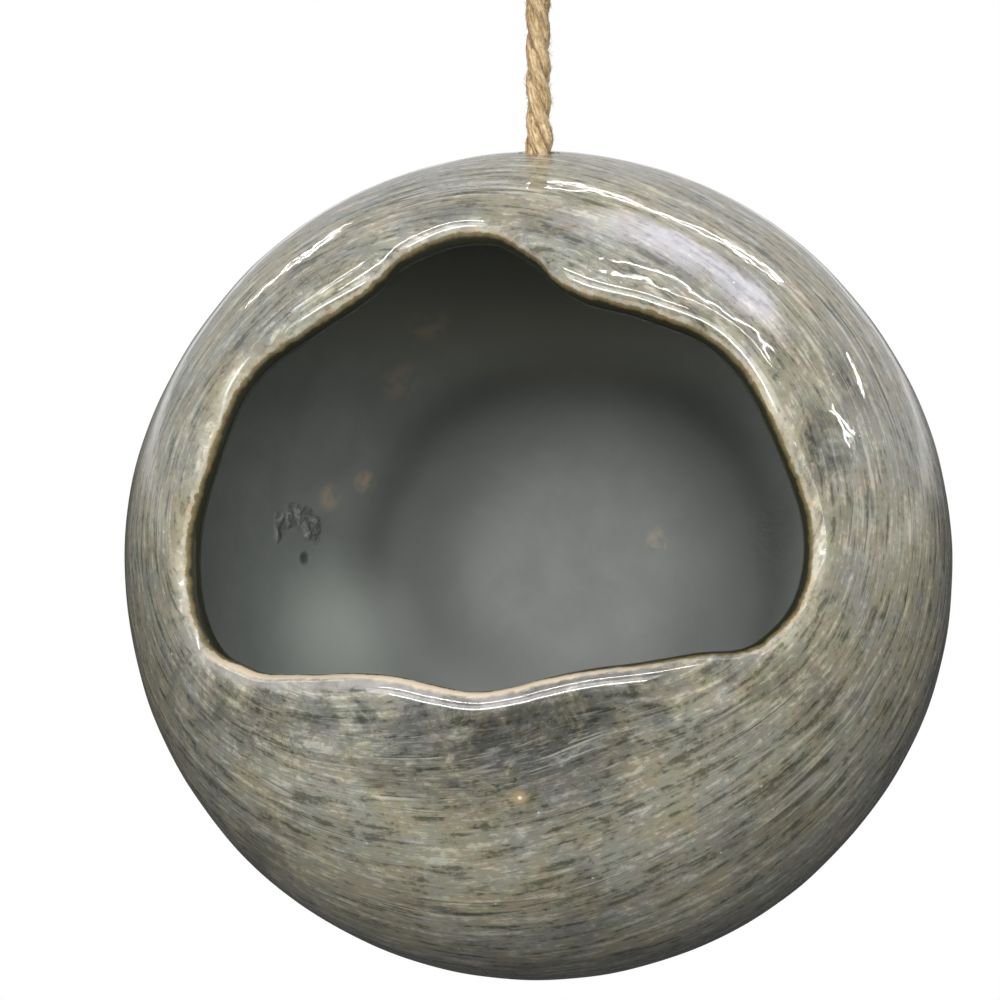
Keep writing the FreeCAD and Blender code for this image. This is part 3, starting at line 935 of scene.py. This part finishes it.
def shape_by_hand(ball):
    """Pull the even lip to its wavy line, and put the thrown wall slightly out of true."""
    size = settings().ball
    place = coordinates(ball.data)
    out, polar, clock = from_throwing_axis(place)
    mouth, steep = mouth_at(clock)
    pull = 1 - smooth(polar, EVEN_MOUTH + LIP_FADE[0], PULL_END)
    at_lip = 1 - smooth(polar - EVEN_MOUTH, *LIP_FADE)
    polar = polar + pull * (mouth - EVEN_MOUTH)
    polar += (polar - mouth) * (np.sqrt(1 + steep ** 2) - 1) * at_lip
    aim = np.stack([np.sin(polar) * np.cos(clock), np.sin(polar) * np.sin(clock), np.cos(polar)], axis=1)
    thrown = 1 - smooth(polar, *DENT_FADE)
    dents = np.array([noise.noise(Vector(a) * 2.6) + 0.35 * noise.noise(Vector(a) * 7) for a in aim])
    out = out + size.wobble * dents * thrown
    place = aim * out[:, None]
    # Inside, the wall runs softly into the floor.
    floor = foot_level() - size.floor
    bowl = np.sqrt(np.maximum((size.radius - size.wall) ** 2 - place[:, 0] ** 2 - place[:, 1] ** 2, 0))
    within = np.maximum(size.corner - np.abs(bowl - floor), 0) / size.corner
    soft = np.minimum(bowl, floor) - within ** 2 * size.corner / 4
    inner = (place[:, 2] < -0.04) & (place[:, 2] > -floor - 0.001) & (out < size.radius - 0.6 * size.wall)
    place[inner, 2] = -soft[inner]
    ball.data.vertices.foreach_set("co", place.ravel())
    ball.data.update()


def cut_rope_hole(ball):
    """Cut the rope hole with a spool that rounds both its edges. The ball is still mouth up."""
    size = settings().ball
    edge = size.hole_edge
    top = math.sqrt(size.radius ** 2 - size.lead ** 2)
    bottom = math.sqrt((size.radius - size.wall) ** 2 - size.lead ** 2)
    select()
    bpy.ops.mesh.primitive_cylinder_add(vertices=40, radius=size.hole, depth=top - bottom - 2 * edge,
                                        location=(0, size.lead, (top + bottom) / 2))
    spool = bpy.context.object
    bpy.ops.object.transform_apply(location=True)
    bpy.ops.object.mode_set(mode="EDIT")
    for end in (1, -1):
        pick(spool, "FACE", lambda face: face.normal.z * end > 0.9)
        before = 0.0
        for degrees in (30, 60, 80, 90):
            turn = math.radians(degrees)
            wide = size.hole + edge * (1 - math.cos(turn))
            narrow = size.hole + edge * (1 - math.cos(before))
            rise = edge * (math.sin(turn) - math.sin(before))
            bpy.ops.mesh.extrude_region_move(TRANSFORM_OT_translate={"value": (0, 0, end * rise)})
            bpy.ops.transform.resize(value=(wide / narrow, wide / narrow, 1))
            before = turn
        bpy.ops.mesh.extrude_region_move(TRANSFORM_OT_translate={"value": (0, 0, end * 0.003)})
    bpy.ops.object.mode_set(mode="OBJECT")
    ball.rotation_mode = "QUATERNION"
    ball.rotation_quaternion = Quaternion((1, 0, 0), math.pi / 2 - size.tilt)
    bpy.context.view_layer.update()
    apply_modifier(ball, "BOOLEAN", operation="DIFFERENCE", solver="EXACT", object=spool)
    bpy.data.objects.remove(spool)
    select(ball)
    ball.location = ball_middle()
    bpy.ops.object.transform_apply(location=True, rotation=True, scale=True)


def mark_ball(ball):
    """Store where each point is: round the throwing axis, on the lip's roll, and on the foot."""
    size = settings().ball
    turned = Quaternion((1, 0, 0), math.pi / 2 - size.tilt).to_matrix()
    place = (coordinates(ball.data) - np.array(ball_middle())) @ np.array(turned)
    out, polar, clock = from_throwing_axis(place)
    mouth, steep = mouth_at(clock)
    from_lip = (polar - mouth) * out / np.sqrt(1 + steep ** 2)
    middle_wall = size.radius - size.wall / 2
    roll = np.arctan2(size.lip_roll - from_lip, out - middle_wall) / np.pi
    beyond = from_lip > size.lip_roll
    roll = np.where(beyond, np.where(out > middle_wall, 0.0, 1.0), roll)
    foot = 1 - smooth(place[:, 2] + foot_level(), 0.0003, 0.0012)
    # The brush followed the lip near it, and went round in circles far from it.
    loose = soft_mouth_at(clock)
    height = polar
    for _ in range(10):
        height = polar - (1 - smooth(height, EVEN_MOUTH, PULL_END)) * (loose - EVEN_MOUTH)
    height = height + size.brush_lean * np.cos(clock)
    ring = np.stack([np.cos(clock), np.sin(clock), height], axis=1)
    for name, rows in (("ring", ring), ("lip", np.stack([roll, from_lip, foot], axis=1))):
        attribute = ball.data.attributes.new(name, "FLOAT_VECTOR", "POINT")
        attribute.data.foreach_set("vector", rows.ravel())


class VASE_OT_stage(Operator):
    """Set up the camera, the floor, the lamps and the world"""
    bl_idname = "vase.stage"
    bl_label = "Studio"

    def execute(self, context):
        scene = context.scene
        view = settings().view
        middle = ball_middle()
        back = Vector((math.sin(view.azimuth) * math.cos(view.elevation),
                       -math.cos(view.azimuth) * math.cos(view.elevation), math.sin(view.elevation)))
        lens = bpy.data.cameras.new("camera")
        lens.lens = view.lens
        lens.clip_start = 0.01
        camera = new_object("camera", lens)
        scene.camera = camera
        camera.location = middle + back * view.distance
        away = PICTURE * view.lens / SENSOR
        offset = Vector((*BALL_IN_PICTURE, -away)).rotation_difference(Vector((0, 0, -1)))
        aim = (-back).to_track_quat("-Z", "Y") @ Quaternion((0, 0, 1), view.roll)
        camera.rotation_mode = "QUATERNION"
        camera.rotation_quaternion = aim @ offset

        self.floor(middle)
        self.world(scene)
        # Twin tubes on the ceiling: middle, length, width and turn.
        rows = [
            ("front_right", (0.635, 0.32), 0.87, 0.010, 0.209),
            ("front_left", (-0.865, 0.485), 0.66, 0.010, -0.322),
            ("rear_right", (0.345, 1.13), 1.05, 0.010, 0.2),
            ("rear_left", (-1.54, 1.9), 1.37, 0.010, -0.543),
            ("side_front", (2.3, 1.23), 1.0, 0.024, 0.53),
            ("side_rear", (2.18, 2.14), 1.0, 0.020, 0.56),
        ]
        for name, (x, y), long, wide, lean in rows:
            square = Vector((-math.sin(lean), math.cos(lean), 0)) * TWIN_GAP
            for letter, side in (("a", -1), ("b", 1)):
                place = middle + Vector((x, y, CEILING)) + side * square
                lamp = self.lamp(f"{name}_{letter}", place, long, wide, TUBE_RADIANCE, LAMP_WHITE)
                lamp.rotation_euler = (0, 0, lean)
        # Thin strips that only show as lines on the rolled lip.
        for name, degrees in (("lip_line_low", 20), ("lip_line_high", 64)):
            rise = math.radians(degrees)
            place = middle + Vector((0.05, -math.cos(rise), math.sin(rise))) * 1.7
            strip = self.lamp(name, place, 2.0, 0.1, 45.0, (1.0, 1.0, 1.0))
            strip.rotation_euler = (middle - place).to_track_quat("-Z", "Y").to_euler()
            strip.visible_diffuse = False
        self.sheen(middle + Vector((0.6, 0.72, CEILING + 0.05)))
        place = middle + Vector((-0.05, -1.55, 0.82))
        front = self.lamp("front_panel", place, 2.6, 1.0, 6.7, LAMP_WHITE)
        front.rotation_euler = (middle - place).to_track_quat("-Z", "Y").to_euler()
        scene.view_settings.view_transform = "Standard"
        return {"FINISHED"}

    def lamp(self, name, place, long, wide, radiance, colour):
        """A flat lamp of that brightness, looking down its own -Z."""
        light = bpy.data.lights.new(name, "AREA")
        light.shape = "RECTANGLE"
        light.size = long
        light.size_y = wide
        light.energy = radiance * math.pi * long * wide
        light.color = colour
        lamp = new_object(name, light)
        lamp.location = place
        lamp.visible_camera = False
        return lamp

    def sheen(self, place):
        """A soft lavender card on the ceiling, which shows in the glaze between the tubes."""
        select()
        bpy.ops.mesh.primitive_plane_add(size=1, location=place, rotation=(0, 0, 0.2))
        card = bpy.context.object
        card.name = "studio_sheen"
        card.scale = (1.5, 0.62, 1)
        bpy.ops.object.transform_apply(location=True, rotation=True, scale=True)
        material, n, _ = new_material("studio_sheen_card")
        spread = n.add("ShaderNodeTexCoord").outputs["UV"]
        x, y, _ = n.split(spread)
        x, y = (n.math("ABSOLUTE", n.math("SUBTRACT", value, 0.5)) for value in (x, y))
        soft = n.times(n.ramp(x, 0.5, 0.15), n.ramp(y, 0.5, 0.1), 6.0)
        glow = n.add("ShaderNodeEmission", {"Color": (0.84, 0.81, 1.0, 1), "Strength": soft})
        n.fill(n.tree.nodes["Material Output"], {0: glow.outputs[0]})
        card.data.materials.append(material)
        card.visible_camera = False
        card.visible_shadow = False

    def from_middle(self, n):
        """How far a point of the floor is from the point below the hook."""
        place = n.add("ShaderNodeTexCoord").outputs["Object"]
        return n.vector("LENGTH", n.vector("MULTIPLY", place, (1, 1, 0)), output="Value")

    def floor(self, middle):
        """A wide pale floor well below the ball, and a dark card on it that only shows in the glaze."""
        select()
        bpy.ops.mesh.primitive_plane_add(size=30, location=(0, 0, middle.z - FLOOR))
        floor = bpy.context.object
        floor.name = "studio_floor"
        bpy.ops.object.transform_apply(location=True)
        material, n, shader = new_material("studio_paper")
        n.fill(shader, {"Base Color": rgba(settings().colours.paper), "Roughness": 0.9})
        path = n.add("ShaderNodeLightPath")
        seen = n.math("MAXIMUM", path.outputs["Is Glossy Ray"], path.outputs["Is Transmission Ray"])
        seen = n.math("MAXIMUM", path.outputs["Is Camera Ray"], seen)
        glow = n.add("ShaderNodeEmission", {"Color": (1, 1, 1, 1), "Strength": 1.0})
        bounce = n.add("ShaderNodeBsdfDiffuse", {"Color": (0.05, 0.05, 0.05, 1)})
        away = self.from_middle(n)
        lit = n.add("ShaderNodeMixShader", {0: n.mix_value(n.ramp(away, 0.9, 1.5), 0.72, 1.0),
                                            1: shader.outputs[0], 2: glow.outputs[0]})
        both = n.add("ShaderNodeMixShader", {0: seen, 1: bounce.outputs[0], 2: lit.outputs[0]})
        n.fill(n.tree.nodes["Material Output"], {0: both.outputs[0]})
        floor.data.materials.append(material)

        select()
        bpy.ops.mesh.primitive_circle_add(vertices=64, radius=11.0, fill_type="NGON",
                                          location=(0, 0, middle.z - FLOOR + 0.01))
        card = bpy.context.object
        card.name = "studio_card"
        bpy.ops.object.transform_apply(location=True)
        material, n, shader = new_material("studio_dark_card")
        n.fill(shader, {"Base Color": (0.04, 0.042, 0.045, 1), "Roughness": 0.9,
                        "Alpha": n.ramp(self.from_middle(n), 10.8, 2.5)})
        card.data.materials.append(material)
        card.visible_camera = False
        card.visible_diffuse = False
        card.visible_shadow = False

    def world(self, scene):
        """White behind the object, a dim ceiling above it, and a soft even light on it."""
        world = bpy.data.worlds.new("studio")
        scene.world = world
        world.use_nodes = True
        n = Nodes(world.node_tree)
        path = n.add("ShaderNodeLightPath")
        shown = n.math("MAXIMUM", path.outputs["Is Glossy Ray"], path.outputs["Is Transmission Ray"])
        way = n.add("ShaderNodeTexCoord").outputs["Generated"]
        rise = n.split(way)[2]
        room = n.mix_value(n.ramp(rise, -0.12, -0.01), 1.0, 0.55)
        strength = n.mix_value(shown, 0.08, room)
        strength = n.mix_value(path.outputs["Is Camera Ray"], strength, 1.0)
        overhead = n.times(shown, n.ramp(rise, 0.1, 0.4))
        sky = n.mix(overhead, (1, 1, 1), (0.86, 0.89, 1.0))
        n.fill(n.tree.nodes["Background"], {"Color": sky, "Strength": strength})


class VASE_OT_stopper(Operator):
    """Tie the barrel knot inside the ball"""
    bl_idname = "vase.stopper"
    bl_label = "Stopper knot"

    def execute(self, context):
        barrel = lay_rope("jute_stopper", smooth_line(round_rope(BARREL, STOPPER)), 11, 8000)
        tail = lay_rope("jute_stopper_tail", smooth_line(round_rope(BARREL_TAIL, STOPPER)), 12)
        knot = join(barrel, tail)
        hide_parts("stopper_knot", "stopper_tail")
        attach(knot, "stopper")
        return {"FINISHED"}


class VASE_OT_hitches(Operator):
    """Tie the two hitches that close the loop, with their tail"""
    bl_idname = "vase.hitches"
    bl_label = "Loop knot"

    def execute(self, context):
        knot = lay_rope("jute_hitches", smooth_line(round_rope(HITCHES, KNOT)), 21, 20000)
        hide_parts("loop_knot", "loop_tail")
        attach(knot, "knot")
        return {"FINISHED"}


class VASE_OT_run(Operator):
    """Lay the taut rope from the stopper up to the loop's knot"""
    bl_idname = "vase.run"
    bl_label = "Rope run"

    def execute(self, context):
        line = smooth_line([STOPPER, (STOPPER + KNOT) / 2, KNOT])
        run = lay_rope("jute_run", line, 31, hole=BALL_HIGH.z)
        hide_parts("rope_run")
        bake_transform(run)
        return {"FINISHED"}


class VASE_OT_loop(Operator):
    """Lay the loop round its hook"""
    bl_idname = "vase.loop"
    bl_label = "Hanging loop"

    def execute(self, context):
        line = smooth_line(loop_route())
        loop = lay_rope("jute_loop", line, 41)
        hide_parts("hanging_loop")
        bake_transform(loop)
        return {"FINISHED"}


class VASE_OT_ball(Operator):
    """Throw, shape and glaze the ball"""
    bl_idname = "vase.ball"
    bl_label = "Glazed ball"

    def execute(self, context):
        ball = throw_ball()
        shape_by_hand(ball)
        cut_rope_hole(ball)
        mark_ball(ball)
        bpy.ops.object.shade_smooth_by_angle(angle=math.radians(50))
        ball.data.materials.clear()
        ball.data.materials.append(shared_material("streaked_glaze", glaze_material))
        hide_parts("ceramic_ball")
        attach(ball, "ball")
        return {"FINISHED"}


OPERATORS = (VASE_OT_stage, VASE_OT_stopper, VASE_OT_hitches, VASE_OT_run, VASE_OT_loop, VASE_OT_ball)


class VASE_PT_panel(Panel):
    """The vase's pieces and settings"""
    bl_label = "Hanging Vase"
    bl_idname = "VASE_PT_panel"
    bl_space_type = "VIEW_3D"
    bl_region_type = "UI"
    bl_category = "Vase"

    def draw(self, context):
        layout = self.layout
        for operator in OPERATORS:
            layout.operator(operator.bl_idname)
        for group in (settings().ball, settings().rope, settings().colours, settings().view):
            box = layout.box()
            for name in group.__annotations__:
                box.prop(group, name)


CLASSES = (VaseBall, VaseRope, VaseColours, VaseView, VaseSettings, *OPERATORS, VASE_PT_panel)


def register():
    for cls in CLASSES:
        bpy.utils.register_class(cls)
    bpy.types.Scene.hanging_vase = PointerProperty(type=VaseSettings)


def unregister():
    del bpy.types.Scene.hanging_vase
    for cls in reversed(CLASSES):
        bpy.utils.unregister_class(cls)


def main():
    register()
    bpy.ops.vase.stage()
    bpy.ops.vase.stopper()
    bpy.ops.vase.hitches()
    bpy.ops.vase.run()
    bpy.ops.vase.loop()
    bpy.ops.vase.ball()


if __name__ == "__main__":
    main()
